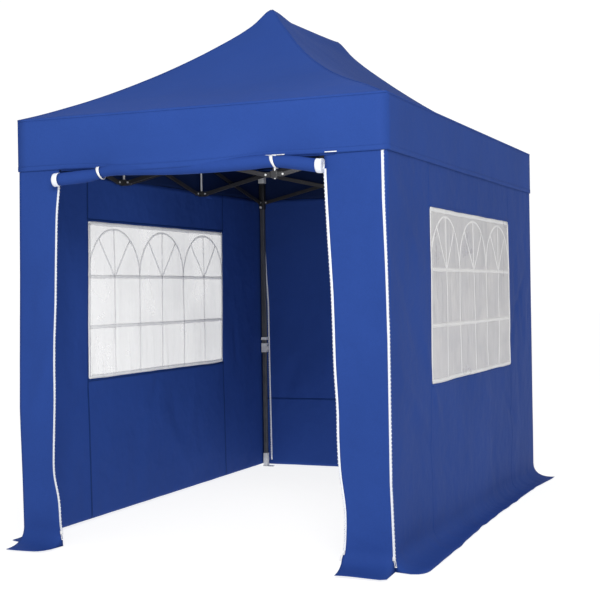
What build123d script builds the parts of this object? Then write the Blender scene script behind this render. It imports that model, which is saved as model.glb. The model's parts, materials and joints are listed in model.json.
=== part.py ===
from build123d import *
import math
import os

# Pop up gazebo: scissor-truss steel frame on four telescopic legs, hipped fabric canopy,
# three fabric walls and a rolled-up door. Millimetres; +X right, +Y back, +Z up, door at -Y.

# ---- driving dimensions ----
leg_pitch_x = 1960.0  # left leg centre to right leg centre
leg_pitch_y = 2960.0  # front leg centre to back leg centre
eave_z = 2200.0  # canopy edge
ridge_z = 2880.0  # canopy ridge
roof_sag = 75.0  # how far the roof hangs below a straight slope half way up
truss_depth = 205.0  # upper pivot to lower pivot
valance_drop = 265.0  # hanging strip round the canopy
wall_top_z = 2100.0
window_sill_z = 820.0
window_head_z = 1720.0
leg_size = 30.0
leg_wall = 1.5
leg_bottom_z = 850.0  # foot of the outer leg tube
bar_height = 24.0
bar_thickness = 11.0
bar_wall = 1.2

# ---- fits and small sizes ----
slide_gap = 0.5  # each side, telescoping tubes and sliding brackets
fabric_t = 2.0
roof_t = 2.5
arm_end = 35.0  # hub centre to pivot: corners, and inward arms of the side hubs
arm_mid = 55.0  # hub centre to pivot: all other arms
cheek_t = 4.0
cheek_gap = 0.25
pin_r = 3.0
pin_hole_r = 3.08
head_r = 6.0
head_t = 3.0
bar_gap = 1.5  # between the two bars of a crossed pair
plug_block = 16.0
plug_spigot = 24.0
spacer_t = 1.3
hub_half = 17.0
pole_r = 12.5
pole_wall = 1.5
cap_r = 22.0
peak_half = 27.0
post_r = 6.0
foot_plate_t = 4.0
peg_hole_r = 5.0
peg_offset = 40.0  # leg centre to peg hole, inward along X
flap = 100.0  # ground flap of each wall
wall_offset = 26.0  # leg centre line to the outside of a wall
canopy_offset = 30.0  # leg centre line to the outside of the valance
door_inset = 220.0  # leg centre line to the edge of the door opening
window_inset = 630.0  # leg centre line to the edge of a window
roll_r = 50.0
roll_y_offset = 28.0  # front leg line to the centre of the rolled door

# ---- derived ----
half_x = leg_pitch_x / 2
half_y = leg_pitch_y / 2
peak_y = half_y - half_x
top_z = eave_z - 45.0
low_z = top_z - truss_depth
bar_v = (bar_thickness + bar_gap) / 2
end_r = bar_height / 2
cheek_r = end_r + 1.0
valance_z = eave_z - roof_t - valance_drop
roll_z = low_z - end_r - roll_r - 10.0
cap_z = ridge_z - 33.0
columns = [-half_x, 0.0, half_x]
rows = [-half_y, -peak_y, peak_y, half_y]

# crossed pairs of bars: name, grid point (column, row) the pair starts from, and ends at
bays = [
    ("peak_front_left", (1, 1), (0, 1)),
    ("peak_front_right", (1, 1), (2, 1)),
    ("left_front", (0, 1), (0, 0)),
    ("left_mid", (0, 1), (0, 2)),
    ("left_back", (0, 2), (0, 3)),
    ("right_front", (2, 1), (2, 0)),
    ("right_mid", (2, 1), (2, 2)),
    ("right_back", (2, 2), (2, 3)),
    ("front_left", (0, 0), (1, 0)),
    ("peak_back_left", (0, 2), (1, 2)),
    ("back_left", (0, 3), (1, 3)),
    ("front_right", (2, 0), (1, 0)),
    ("peak_back_right", (2, 2), (1, 2)),
    ("back_right", (2, 3), (1, 3)),
]
corners = {
    "front_left": (0, 0),
    "front_right": (2, 0),
    "back_left": (0, 3),
    "back_right": (2, 3),
}
side_hubs = {
    "left_front": (0, 1),
    "left_back": (0, 2),
    "right_front": (2, 1),
    "right_back": (2, 2),
    "front": (1, 0),
    "back": (1, 3),
}
peaks = {"front": (1, 1), "back": (1, 2)}


def span_box(x0, x1, y0, y1, z0, z1):
    """A box between two corners."""
    centre = Pos((x0 + x1) / 2, (y0 + y1) / 2, (z0 + z1) / 2)
    return centre * Box(abs(x1 - x0), abs(y1 - y0), abs(z1 - z0))


def rod_y(r, y0, y1):
    """A round rod along Y between two stations."""
    return Pos(0, (y0 + y1) / 2, 0) * Rot(90, 0, 0) * Cylinder(r, abs(y1 - y0))


def rod_z(r, z0, z1):
    """A round rod along Z between two heights."""
    return Pos(0, 0, (z0 + z1) / 2) * Cylinder(r, z1 - z0)


def bolt_y(y0, y1):
    """A bolt along Y whose head and nut clamp the stations y0 and y1."""
    shank = rod_y(pin_r, y0 - 1, y1 + 1)
    head = rod_y(head_r, y1, y1 + head_t)
    nut = rod_y(head_r, y0 - head_t, y0)
    return shank + head + nut


def heading(col, row, other):
    """Turn about Z that faces from one grid point to the next, in degrees."""
    dx = other[0] - col
    dy = other[1] - row
    return math.degrees(math.atan2(dy, dx))


def arm_of(point, other):
    """Length of the arm a hub holds out towards its neighbour."""
    if point[0] == other[0]:
        return arm_end if point[1] in (0, 3) else arm_mid
    return arm_mid if point[0] == 1 else arm_end


def fork(arm, start, v):
    """Two cheeks along +X that hold a bar end between them, in the plane y = v."""
    parts = []
    for side in (-1, 1):
        y = v + side * (bar_thickness / 2 + cheek_gap + cheek_t / 2)
        plate = span_box(start, arm, y - cheek_t / 2, y + cheek_t / 2, -cheek_r, cheek_r)
        nose = Pos(arm, 0, 0) * rod_y(cheek_r, y - cheek_t / 2, y + cheek_t / 2)
        hole = Pos(arm, 0, 0) * rod_y(pin_hole_r, y - cheek_t, y + cheek_t)
        parts.append(plate + nose - hole)
    return parts


def fork_bolt(arm, v):
    """The bolt a bar end turns on."""
    reach = bar_thickness / 2 + cheek_gap + cheek_t
    return Pos(arm, 0, 0) * bolt_y(v - reach, v + reach)


def arms_at(point):
    """Neighbours of one grid point along the crossed bars."""
    near = []
    for name, start, end in bays:
        if start == point:
            near.append(end)
        if end == point:
            near.append(start)
    return near


def bracket(point, block, start, v):
    """A block with a fork towards every neighbour, then the bolts as solids of their own."""
    body = block
    bolts = []
    for other in arms_at(point):
        turn = Rot(0, 0, heading(point[0], point[1], other))
        arm = arm_of(point, other)
        for cheek in fork(arm, start - 2.0, v):
            body = body + turn * cheek
        bolts.append(turn * fork_bolt(arm, v))
    return [body] + bolts


def square_tube(size, wall, z0, z1):
    """An upright square tube with rounded edges."""
    outer = span_box(-size / 2, size / 2, -size / 2, size / 2, z0, z1)
    outer = fillet(outer.edges().filter_by(Axis.Z), 3.0)
    inner = size / 2 - wall
    bore = span_box(-inner, inner, -inner, inner, z0 - 1, z1 + 1)
    bore = fillet(bore.edges().filter_by(Axis.Z), 3.0 - wall)
    return outer - bore


def sleeve(half, bore, z0, z1):
    """A square collar with a square bore."""
    outer = span_box(-half, half, -half, half, z0, z1)
    outer = fillet(outer.edges().filter_by(Axis.Z), 4.0)
    return outer - span_box(-bore, bore, -bore, bore, z0 - 1, z1 + 1)


def outer_leg(point):
    """Leg tube, top bracket, lower collar and the height lock's lever."""
    tube = square_tube(leg_size, leg_wall, leg_bottom_z, top_z - 5)
    fit = leg_size / 2 + 0.05
    block = sleeve(leg_size / 2 + 3, fit, top_z - 30, top_z - 5)
    block = block + sleeve(leg_size / 2 + 3, 4.0, top_z - 5, top_z + 17)
    block = Pos(0, 0, -top_z) * block
    top = [Pos(0, 0, top_z) * s for s in bracket(point, block, leg_size / 2 + 3, bar_v)]
    collar = sleeve(leg_size / 2 + 4, fit, leg_bottom_z, leg_bottom_z + 60)
    lip = leg_size / 2 - leg_wall
    collar = collar + sleeve(leg_size / 2 + 4, lip, leg_bottom_z - 6, leg_bottom_z)
    band = sleeve(leg_size / 2 + 5, fit, leg_bottom_z + 85, leg_bottom_z + 105)
    inward = -1 if point[0] == 2 else 1
    lever = span_box(0, 10, -7, 7, leg_bottom_z + 8, leg_bottom_z + 40)
    lever = Pos(inward * (leg_size / 2 + 4) - (10 if inward < 0 else 0), 0, 0) * lever
    return [tube] + top + [collar, band, lever]


def slider(point):
    """Lower bracket that slides on the outer leg, with its pull pin."""
    half = leg_size / 2 + 4
    block = sleeve(half, leg_size / 2 + slide_gap, -50, 25)
    solids = [Pos(0, 0, low_z) * s for s in bracket(point, block, half, -bar_v)]
    inward = 1 if point[1] == 0 else -1
    stem = Rot(0, 0, 0 if inward > 0 else 180) * rod_y(4.0, half, half + 8)
    knob = Rot(0, 0, 0 if inward > 0 else 180) * rod_y(8.0, half + 8, half + 18)
    solids.append(Pos(0, 0, low_z - 36) * (stem + knob))
    return solids


def inner_leg(point):
    """Telescopic inner leg standing in a foot with a peg hole."""
    size = leg_size - 2 * leg_wall - 2 * slide_gap
    tube = square_tube(size, leg_wall, 10, leg_bottom_z + 250)
    socket = sleeve(size / 2 + 4, size / 2 + 0.05, 10, 40)
    base = span_box(-size / 2 - 4, size / 2 + 4, -size / 2 - 4, size / 2 + 4, foot_plate_t, 10)
    inward = -1 if point[0] == 2 else 1
    plate = span_box(-20, peg_offset + 20, -20, 20, 0, foot_plate_t)
    plate = fillet(plate.edges().filter_by(Axis.Z), 6.0)
    plate = plate - Pos(peg_offset, 0, 0) * rod_z(peg_hole_r, -1, foot_plate_t + 1)
    turn = Rot(0, 0, 0 if inward > 0 else 180)
    return [tube, socket + base + turn * plate]


def hub_block():
    """Core of a truss hub."""
    block = span_box(-hub_half, hub_half, -hub_half, hub_half, -hub_half, hub_half)
    return fillet(block.edges().filter_by(Axis.Z), 4.0)


def top_hub(point):
    """Upper truss hub."""
    return [Pos(0, 0, top_z) * s for s in bracket(point, hub_block(), hub_half, bar_v)]


def low_hub(point):
    """Lower truss hub with the post that stops it against the upper hub."""
    solids = [Pos(0, 0, low_z) * s for s in bracket(point, hub_block(), hub_half, -bar_v)]
    solids.append(rod_z(post_r, low_z + hub_half, top_z - hub_half - 2))
    return solids


def peak_top_hub(point):
    """Upper hub the peak pole slides through; its cup takes the pole's cap when folded."""
    block = span_box(-peak_half, peak_half, -peak_half, peak_half, -28, 15)
    block = fillet(block.edges().filter_by(Axis.Z), 6.0)
    solids = bracket(point, block, peak_half, bar_v)
    solids[0] = solids[0] - rod_z(pole_r + slide_gap, -40, 40)
    solids[0] = solids[0] - rod_z(cap_r + 2, -15, 40)
    return [Pos(0, 0, top_z) * s for s in solids]


def peak_pole(point):
    """Lower peak hub with the pole and the round cap that lift the canopy."""
    block = span_box(-20, 20, -20, 20, -20, 20)
    block = fillet(block.edges().filter_by(Axis.Z), 4.0)
    solids = bracket(point, block, 20.0, -bar_v)
    solids[0] = solids[0] - rod_z(pole_r + 0.05, -40, 40)
    solids = [Pos(0, 0, low_z) * s for s in solids]
    tube = rod_z(pole_r, low_z - 25, cap_z) - rod_z(pole_r - pole_wall, low_z - 26, cap_z + 1)
    dome = Pos(0, 0, cap_z) * Sphere(cap_r)
    dome = dome & span_box(-cap_r, cap_r, -cap_r, cap_r, cap_z, cap_z + cap_r)
    dome = dome + rod_z(pole_r - pole_wall - 0.05, cap_z - 20, cap_z)
    return solids + [tube, dome]


def bar_blank(length):
    """Rectangular tube, then its two end plugs, along +X from pivot to pivot."""
    half_t = bar_thickness / 2
    half_h = bar_height / 2
    tube = span_box(plug_block, length - plug_block, -half_t, half_t, -half_h, half_h)
    tube = fillet(tube.edges().filter_by(Axis.X), 2.0)
    in_t = half_t - bar_wall
    in_h = half_h - bar_wall
    tube = tube - span_box(0, length, -in_t, in_t, -in_h, in_h)
    tube = tube - Pos(length / 2, 0, 0) * rod_y(pin_hole_r, -half_t - 1, half_t + 1)
    plug = rod_y(end_r, -half_t, half_t)
    plug = plug + span_box(0, plug_block, -half_t, half_t, -half_h, half_h)
    fit_t = in_t - 0.1
    fit_h = in_h - 0.1
    spigot = span_box(plug_block, plug_block + plug_spigot, -fit_t, fit_t, -fit_h, fit_h)
    plug = plug + spigot - rod_y(pin_hole_r, -half_t - 1, half_t + 1)
    far = Pos(length, 0, 0) * Rot(0, 0, 180) * plug
    return [tube, plug, far]


def crossed_pair(start, end):
    """The two bars of one bay: the first falls away from the start, the second rises."""
    x0 = columns[start[0]]
    y0 = rows[start[1]]
    x1 = columns[end[0]]
    y1 = rows[end[1]]
    a0 = arm_of(start, end)
    run = math.hypot(x1 - x0, y1 - y0) - a0 - arm_of(end, start)
    length = math.hypot(run, truss_depth)
    tilt = math.degrees(math.atan2(truss_depth, run))
    blank = bar_blank(length)
    half_t = bar_thickness / 2
    across = -half_t - bar_gap - bar_thickness - 0.3
    middle = Pos(length / 2, 0, 0)
    bolt = middle * bolt_y(across, half_t)
    spacer = rod_y(8.0, -half_t - spacer_t, -half_t)
    spacer = middle * (spacer - rod_y(pin_hole_r, -half_t - 2, half_t))
    turn = Pos(x0, y0, 0) * Rot(0, 0, heading(start[0], start[1], end)) * Pos(a0, 0, 0)
    down = turn * Pos(0, bar_v, top_z) * Rot(0, tilt, 0)
    rise = turn * Pos(0, -bar_v, low_z) * Rot(0, -tilt, 0)
    first = [down * s for s in blank + [bolt, spacer]]
    second = [rise * s for s in blank]
    return first, second


def roof_plate(points):
    """A flat panel of roof, given by its upper corners."""
    face = Face(Wire.make_polygon([Vector(*p) for p in points], close=True))
    return extrude(face, amount=roof_t, dir=(0, 0, -1))


def roof_ring(share):
    """Half sizes and height of the roof outline a share of the way from eave to ridge."""
    full = half_x + canopy_offset
    inset = full * share
    straight = eave_z + (ridge_z - eave_z) * share
    return full - inset, half_y + canopy_offset - inset, straight - 4 * roof_sag * share * (1 - share)


def roof_band(low, high):
    """The four panels between two outlines; a panel that narrows to a point has three corners."""
    panels = []
    for sx in (-1, 1):
        panel = [(sx * low[0], -low[1], low[2]), (sx * low[0], low[1], low[2])]
        panel += [(sx * high[0], high[1], high[2]), (sx * high[0], -high[1], high[2])]
        panels.append(roof_plate(panel))
    for sy in (-1, 1):
        panel = [(-low[0], sy * low[1], low[2]), (low[0], sy * low[1], low[2])]
        panel.append((high[0], sy * high[1], high[2]))
        if high[0] > 1e-6:
            panel.append((-high[0], sy * high[1], high[2]))
        panels.append(roof_plate(panel))
    return panels


def canopy():
    """Roof panels, the hanging valance and the rolled-up door."""
    solids = roof_band(roof_ring(0.0), roof_ring(0.5))
    solids += roof_band(roof_ring(0.5), roof_ring(1.0))
    x = half_x + canopy_offset
    y = half_y + canopy_offset
    top = eave_z - roof_t
    for s in (-1, 1):
        solids.append(span_box(-x, x, s * (y - fabric_t), s * y, valance_z, top))
        inside = y - fabric_t
        solids.append(span_box(s * (x - fabric_t), s * x, -inside, inside, valance_z, top))
    reach = half_x - door_inset
    roll = Rot(0, 90, 0) * Cylinder(roll_r, 2 * reach)
    solids.append(Pos(0, -half_y + roll_y_offset, roll_z) * roll)
    return solids


def side_wall(s):
    """A side wall with its window, and the strip of front wall beside the door."""
    out = s * (half_x + wall_offset)
    inn = s * (half_x + wall_offset - fabric_t)
    end = half_y + wall_offset
    win = half_y - window_inset
    solids = [span_box(inn, out, -end, -win, fabric_t, wall_top_z)]
    solids.append(span_box(inn, out, win, end, fabric_t, wall_top_z))
    solids.append(span_box(inn, out, -win, win, fabric_t, window_sill_z))
    solids.append(span_box(inn, out, -win, win, window_head_z, wall_top_z))
    pane = (inn + out) / 2
    solids.append(span_box(pane - 0.5, pane + 0.5, -win, win, window_sill_z, window_head_z))
    solids.append(span_box(inn, out + s * flap, -end, end, 0, fabric_t))
    door = s * (half_x - door_inset)
    front = -(half_y + wall_offset)
    solids.append(span_box(door, inn, front, front + fabric_t, fabric_t, wall_top_z))
    solids.append(span_box(door, inn, front - flap, front + fabric_t, 0, fabric_t))
    return solids


def back_wall():
    """The plain back wall and its ground flap."""
    x = half_x + wall_offset - fabric_t
    y = half_y + wall_offset
    wall = span_box(-x, x, y - fabric_t, y, fabric_t, wall_top_z)
    ground = span_box(-x, x, y - fabric_t, y + flap, 0, fabric_t)
    return [wall, ground]


def save(name, solids):
    """Write one node, with each solid kept apart."""
    group = Compound(label=name, children=list(solids))
    export_step(group, os.path.join("parts", name + ".step"))


def save_at(name, point, solids):
    """Write one node moved to its grid point."""
    place = Pos(columns[point[0]], rows[point[1]], 0)
    save(name, [place * s for s in solids])


os.makedirs("parts", exist_ok=True)
for name, point in corners.items():
    save_at("leg_" + name, point, outer_leg(point))
    save_at("slider_" + name, point, slider(point))
    save_at("inner_leg_" + name, point, inner_leg(point))
for name, point in side_hubs.items():
    save_at("hub_top_" + name, point, top_hub(point))
    save_at("hub_low_" + name, point, low_hub(point))
for name, point in peaks.items():
    save_at("peak_hub_" + name, point, peak_top_hub(point))
    save_at("peak_pole_" + name, point, peak_pole(point))
for name, start, end in bays:
    falling, rising = crossed_pair(start, end)
    save("bar_" + name + "_a", falling)
    save("bar_" + name + "_b", rising)
save("canopy", canopy())
save("wall_left", side_wall(-1))
save("wall_right", side_wall(1))
save("wall_back", back_wall())
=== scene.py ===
"""Visual model of a 2 x 3 m pop up gazebo, dressed round its packed folding frame."""

from __future__ import annotations

import json
import logging
import math
import random
from dataclasses import dataclass, field
from enum import Enum
from functools import partial
from typing import Callable, Sequence

import bmesh
import bpy
from mathutils import Matrix, Vector, noise

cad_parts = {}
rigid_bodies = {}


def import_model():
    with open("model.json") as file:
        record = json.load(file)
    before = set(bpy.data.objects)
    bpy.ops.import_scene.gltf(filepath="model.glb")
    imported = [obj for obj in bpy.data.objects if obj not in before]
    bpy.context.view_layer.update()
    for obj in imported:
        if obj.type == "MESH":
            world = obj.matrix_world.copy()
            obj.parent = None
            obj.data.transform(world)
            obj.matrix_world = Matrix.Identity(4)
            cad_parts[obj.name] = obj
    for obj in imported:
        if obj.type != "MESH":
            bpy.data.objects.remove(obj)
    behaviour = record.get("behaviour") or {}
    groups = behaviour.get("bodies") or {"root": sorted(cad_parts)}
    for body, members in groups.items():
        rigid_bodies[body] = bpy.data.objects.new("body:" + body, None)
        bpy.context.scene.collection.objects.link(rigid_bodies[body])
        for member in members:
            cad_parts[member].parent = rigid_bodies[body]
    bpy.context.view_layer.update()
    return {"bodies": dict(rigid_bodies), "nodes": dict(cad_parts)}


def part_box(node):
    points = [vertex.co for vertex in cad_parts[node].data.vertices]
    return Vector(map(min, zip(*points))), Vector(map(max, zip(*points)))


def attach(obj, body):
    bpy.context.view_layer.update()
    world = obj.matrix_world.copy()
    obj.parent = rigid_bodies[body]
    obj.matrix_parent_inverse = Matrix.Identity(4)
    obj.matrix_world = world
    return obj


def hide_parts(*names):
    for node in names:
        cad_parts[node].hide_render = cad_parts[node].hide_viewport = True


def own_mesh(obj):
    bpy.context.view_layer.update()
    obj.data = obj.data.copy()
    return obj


LOG = logging.getLogger("gazebo")

Table = Sequence[tuple[float, float]]
Place = Callable[[float, float], Vector]
Hole = Callable[[float, float], bool]
Spot = tuple[float, float, float]
Path = Sequence[tuple[float, float]]
Folder = Callable[[bpy.types.Object], None]
FLAT: Table = ((0.0, 0.0), (1.0, 0.0))

HALF_X, HALF_Y = 1.01, 1.51  # middle to the outside of the valance
WALL_X, WALL_Y = 1.005, 1.505  # middle to the middle of a wall's cloth
LEG_X, LEG_Y = 0.98, 1.48  # middle to the middle of a leg
EAVE_Z, RIDGE_Z = 2.2, 2.88
VALANCE_Z = 1.9325  # lower edge of the valance
VALANCE_DEPTH = EAVE_Z - VALANCE_Z
WALL_TOP_Z = 1.965
DOOR_X = 0.76  # middle to the side of the door
WINDOW_Y = 0.85  # half the length of a window
SILL_Z, HEAD_Z = 0.812, 1.705  # foot and top of a window
TAPE = 0.0007  # thickness of a seam's tape
FLOAT, COLOR = "NodeSocketFloat", "NodeSocketColor"
DARK = (0.1, 0.1, 0.1, 1)  # a shader group's colour until it is given one


# ---------------------------------------------------------------- small tools


def ramp(start: float, stop: float, steps: int) -> list[float]:
    """Even stations from start to stop, both included."""
    return [start + (stop - start) * i / steps for i in range(steps + 1)]


def joined(*runs: Sequence[float]) -> list[float]:
    """Runs of stations end to end, with the shared ends kept once."""
    out = list(runs[0])
    for run in runs[1:]:
        out.extend(list(run)[1:])
    return out


def smooth(x: float, low: float, high: float) -> float:
    """0 below low, 1 above high and an even S curve between."""
    t = max(0.0, min(1.0, (x - low) / (high - low)))
    return t * t * (3.0 - 2.0 * t)


def through(x: float, knots: Table) -> float:
    """Value of the straight runs through some knots.

    Args:
        x: Where to read it.
        knots: Pairs of x and value, in order.

    Returns:
        The value, held level beyond the ends.
    """
    if x <= knots[0][0]:
        return knots[0][1]
    for (x0, y0), (x1, y1) in zip(knots, knots[1:]):
        if x <= x1:
            return y0 + (y1 - y0) * (x - x0) / (x1 - x0)
    return knots[-1][1]


def curve(x: float, knots: Table) -> float:
    """Value of a smooth curve through some knots.

    Args:
        x: Where to read it.
        knots: Pairs of x and value, in order.

    Returns:
        The value, held level beyond the ends.
    """
    last = len(knots) - 1
    i = next((k for k in range(last) if x <= knots[k + 1][0]), last - 1)
    slopes = []
    for k in (i, i + 1):
        low, high = knots[max(0, k - 1)], knots[min(last, k + 1)]
        slopes.append((high[1] - low[1]) / (high[0] - low[0]))
    (x0, y0), (x1, y1) = knots[i], knots[i + 1]
    t = max(0.0, min(1.0, (x - x0) / (x1 - x0)))
    step = x1 - x0
    return ((2 * t ** 3 - 3 * t ** 2 + 1) * y0 + (t ** 3 - 2 * t ** 2 + t) * step * slopes[0]
            + (3 * t ** 2 - 2 * t ** 3) * y1 + (t ** 3 - t ** 2) * step * slopes[1])


def rumple(a: float, b: float, seed: float) -> float:
    """Smooth noise from -1 to 1 over a sheet."""
    return noise.noise(Vector((a, b, seed)))


def new_mesh_object(name: str, bm: bmesh.types.BMesh) -> bpy.types.Object:
    """Turn a finished bmesh into an object at the origin.

    Args:
        name: Name of the piece.
        bm: The mesh, which is freed.

    Returns:
        The new object, linked to the scene and shaded smooth.
    """
    mesh = bpy.data.meshes.new(name)
    for face in bm.faces:
        face.smooth = True
    bm.to_mesh(mesh)
    bm.free()
    piece = bpy.data.objects.new(name, mesh)
    bpy.context.scene.collection.objects.link(piece)
    return piece


def add_grid(bm: bmesh.types.BMesh, us: Sequence[float], vs: Sequence[float], place: Place,
             hole: Hole | None = None) -> None:
    """Lay a grid of cloth into a bmesh.

    Args:
        bm: The mesh to add to.
        us: Stations across the sheet.
        vs: Stations up the sheet.
        place: Where a point of the flat sheet goes in space.
        hole: True where the middle of a face falls in an opening.
    """
    nu, nv = len(us) - 1, len(vs) - 1
    made = bmesh.ops.create_grid(bm, x_segments=nu, y_segments=nv, size=1.0)["verts"]
    station = {v: (round((v.co.x + 1) * nu / 2), round((v.co.y + 1) * nv / 2)) for v in made}
    if hole is not None:
        faces = {f for v in made for f in v.link_faces}
        cut = []
        for face in faces:
            u = sum(us[station[v][0]] for v in face.verts) / 4
            v_mid = sum(vs[station[v][1]] for v in face.verts) / 4
            if hole(u, v_mid):
                cut.append(face)
        bmesh.ops.delete(bm, geom=cut, context="FACES")
    for vert, (i, j) in station.items():
        if vert.is_valid:
            vert.co = place(us[i], vs[j])


def thick_piece(name: str, bm: bmesh.types.BMesh, thickness: float, offset: float = 0.0) -> bpy.types.Object:
    """Turn a bmesh of single faces into an object with a thickness.

    Args:
        name: Name of the piece.
        bm: The mesh, which is freed.
        thickness: Thickness in metres.
        offset: -1 thickens inwards, 1 outwards and 0 both ways.

    Returns:
        The new object.
    """
    piece = new_mesh_object(name, bm)
    thick = piece.modifiers.new("thickness", "SOLIDIFY")
    thick.thickness = thickness
    thick.offset = offset
    return piece


def cloth(name: str, us: Sequence[float], vs: Sequence[float], place: Place, thickness: float,
          hole: Hole | None = None, merge: bool = False, offset: float = -1.0) -> bpy.types.Object:
    """A sheet of cloth with a real thickness.

    Args:
        name: Name of the piece.
        us: Stations across the sheet.
        vs: Stations up the sheet.
        place: Where a point of the flat sheet goes in space.
        thickness: Thickness in metres.
        hole: True inside an opening.
        merge: Weld the sheet's meeting edges.
        offset: -1 thickens inwards, 1 outwards and 0 both ways.

    Returns:
        The sheet as an object.
    """
    bm = bmesh.new()
    add_grid(bm, us, vs, place, hole)
    if merge:
        bmesh.ops.remove_doubles(bm, verts=bm.verts, dist=0.0004)
        bmesh.ops.dissolve_degenerate(bm, edges=bm.edges, dist=0.0002)
    return thick_piece(name, bm, thickness, offset)


def frozen(piece: bpy.types.Object) -> bpy.types.Object:
    """Apply a piece's modifiers, so that what follows works on the final mesh.

    Args:
        piece: The object to freeze.

    Returns:
        The same object.
    """
    bpy.context.view_layer.update()
    graph = bpy.context.evaluated_depsgraph_get()
    mesh = bpy.data.meshes.new_from_object(piece.evaluated_get(graph))
    piece.modifiers.clear()
    piece.data = mesh
    return piece


def sheet_area(piece: bpy.types.Object) -> float:
    """Area of one side of a sheet, taken before it gets its thickness."""
    return sum(p.area for p in piece.data.polygons)


def dressed(piece: bpy.types.Object, material: bpy.types.Material) -> bpy.types.Object:
    """Give a piece its material.

    Args:
        piece: The object.
        material: Its finish.

    Returns:
        The same object.
    """
    piece.data.materials.clear()
    piece.data.materials.append(material)
    return piece


def round_bar(bm: bmesh.types.BMesh, start: Vector, end: Vector, radius: float) -> None:
    """A thin round bar between two points.

    Args:
        bm: The mesh to add to.
        start: Middle of one end.
        end: Middle of the other end.
        radius: Radius in metres.
    """
    run = end - start
    turn = run.to_track_quat("Z", "Y").to_matrix().to_4x4()
    spot = Matrix.Translation((start + end) / 2) @ turn
    bmesh.ops.create_cone(bm, cap_ends=True, segments=8, radius1=radius, radius2=radius,
                          depth=run.length, matrix=spot)


def block(bm: bmesh.types.BMesh, low: Sequence[float], high: Sequence[float], bevel: float) -> None:
    """A softened block between two corners.

    Args:
        bm: The mesh to add to.
        low: Lowest corner.
        high: Highest corner.
        bevel: Width of the softened edges.
    """
    a, b = Vector(low), Vector(high)
    size = b - a
    spot = Matrix.Translation((a + b) / 2) @ Matrix.Diagonal((*size, 1.0))
    made = bmesh.ops.create_cube(bm, size=1.0, matrix=spot)["verts"]
    edges = {e for v in made for e in v.link_edges}
    bmesh.ops.bevel(bm, geom=list(edges), offset=bevel, segments=2, profile=0.5, affect="EDGES",
                    material=-1)


# ------------------------------------------------------------------ materials


@dataclass
class Wiring:
    """Adds and joins the nodes of one node tree."""

    tree: bpy.types.NodeTree

    def add(self, kind: str, **settings: object) -> bpy.types.Node:
        """Add a node and set its properties.

        Args:
            kind: The node's type.
            settings: Properties to set on it.

        Returns:
            The node.
        """
        node = self.tree.nodes.new(kind)
        for key, value in settings.items():
            setattr(node, key, value)
        return node

    def join(self, source: bpy.types.NodeSocket, target: bpy.types.NodeSocket) -> None:
        """Link two sockets."""
        self.tree.links.new(source, target)

    def feed(self, value: object, socket: bpy.types.NodeSocket) -> None:
        """Link a socket to another, or set it to a number or a colour.

        Args:
            value: A socket, a number or a colour.
            socket: The input that takes it.
        """
        if isinstance(value, bpy.types.NodeSocket):
            self.join(value, socket)
        else:
            socket.default_value = value

    def fill(self, node: bpy.types.Node, values: dict[str, object]) -> None:
        """Feed several named inputs of a node."""
        for label, value in values.items():
            self.feed(value, node.inputs[label])

    def math(self, kind: str, a: object, b: object) -> bpy.types.NodeSocket:
        """A Math node on two sockets or numbers.

        Args:
            kind: The operation.
            a: First socket or number.
            b: Second socket or number.

        Returns:
            The result.
        """
        node = self.add("ShaderNodeMath", operation=kind)
        self.feed(a, node.inputs[0])
        self.feed(b, node.inputs[1])
        return node.outputs[0]

    def noise(self, vector: bpy.types.NodeSocket, scale: object, detail: float, rough: float = 0.5,
              distortion: float = 0.0) -> bpy.types.NodeSocket:
        """A noise texture's factor.

        Args:
            vector: Where it is taken.
            scale: Its scale, a socket or a number.
            detail: Its detail.
            rough: Its roughness.
            distortion: Its distortion.

        Returns:
            The factor.
        """
        node = self.add("ShaderNodeTexNoise")
        self.fill(node, {"Vector": vector, "Scale": scale, "Detail": detail, "Roughness": rough,
                         "Distortion": distortion})
        return node.outputs["Fac"]

    def mix(self, fac: object, a: object, b: object) -> bpy.types.NodeSocket:
        """A colour mix of two sockets or colours.

        Args:
            fac: Share of the second.
            a: First socket or colour.
            b: Second socket or colour.

        Returns:
            The mixed colour.
        """
        node = self.add("ShaderNodeMix", data_type="RGBA")
        for value, index in ((fac, 0), (a, 6), (b, 7)):
            self.feed(value, node.inputs[index])
        return node.outputs[2]

    def spread(self, value: bpy.types.NodeSocket, low: float, high: float, to_low: object,
               to_high: object) -> bpy.types.NodeSocket:
        """Map a value from one range to another.

        Args:
            value: What to map.
            low: Start of the old range.
            high: End of the old range.
            to_low: Start of the new range, a socket or a number.
            to_high: End of the new range, a socket or a number.

        Returns:
            The mapped value.
        """
        node = self.add("ShaderNodeMapRange")
        self.fill(node, {"Value": value, "From Min": low, "From Max": high, "To Min": to_low,
                         "To Max": to_high})
        return node.outputs["Result"]

    def stretched(self, vector: bpy.types.NodeSocket, scale: Spot) -> bpy.types.NodeSocket:
        """A place stretched by a factor along each axis.

        Args:
            vector: The place.
            scale: The three factors.

        Returns:
            The stretched place.
        """
        node = self.add("ShaderNodeMapping")
        self.fill(node, {"Vector": vector, "Scale": scale})
        return node.outputs["Vector"]


def group_shell(name: str, takes: Sequence[tuple[str, str, object]],
                gives: Sequence[tuple[str, str]]) -> tuple[bpy.types.NodeTree, Wiring]:
    """An empty shader group with named inputs and outputs.

    Args:
        name: Name of the group.
        takes: Each input's name, socket kind and default.
        gives: Each output's name and socket kind.

    Returns:
        The tree and a wiring helper for it.
    """
    tree = bpy.data.node_groups.new(name, "ShaderNodeTree")
    for label, kind, value in takes:
        socket = tree.interface.new_socket(label, in_out="INPUT", socket_type=kind)
        if value is not None:
            socket.default_value = value
    for label, kind in gives:
        tree.interface.new_socket(label, in_out="OUTPUT", socket_type=kind)
    return tree, Wiring(tree)


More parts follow.
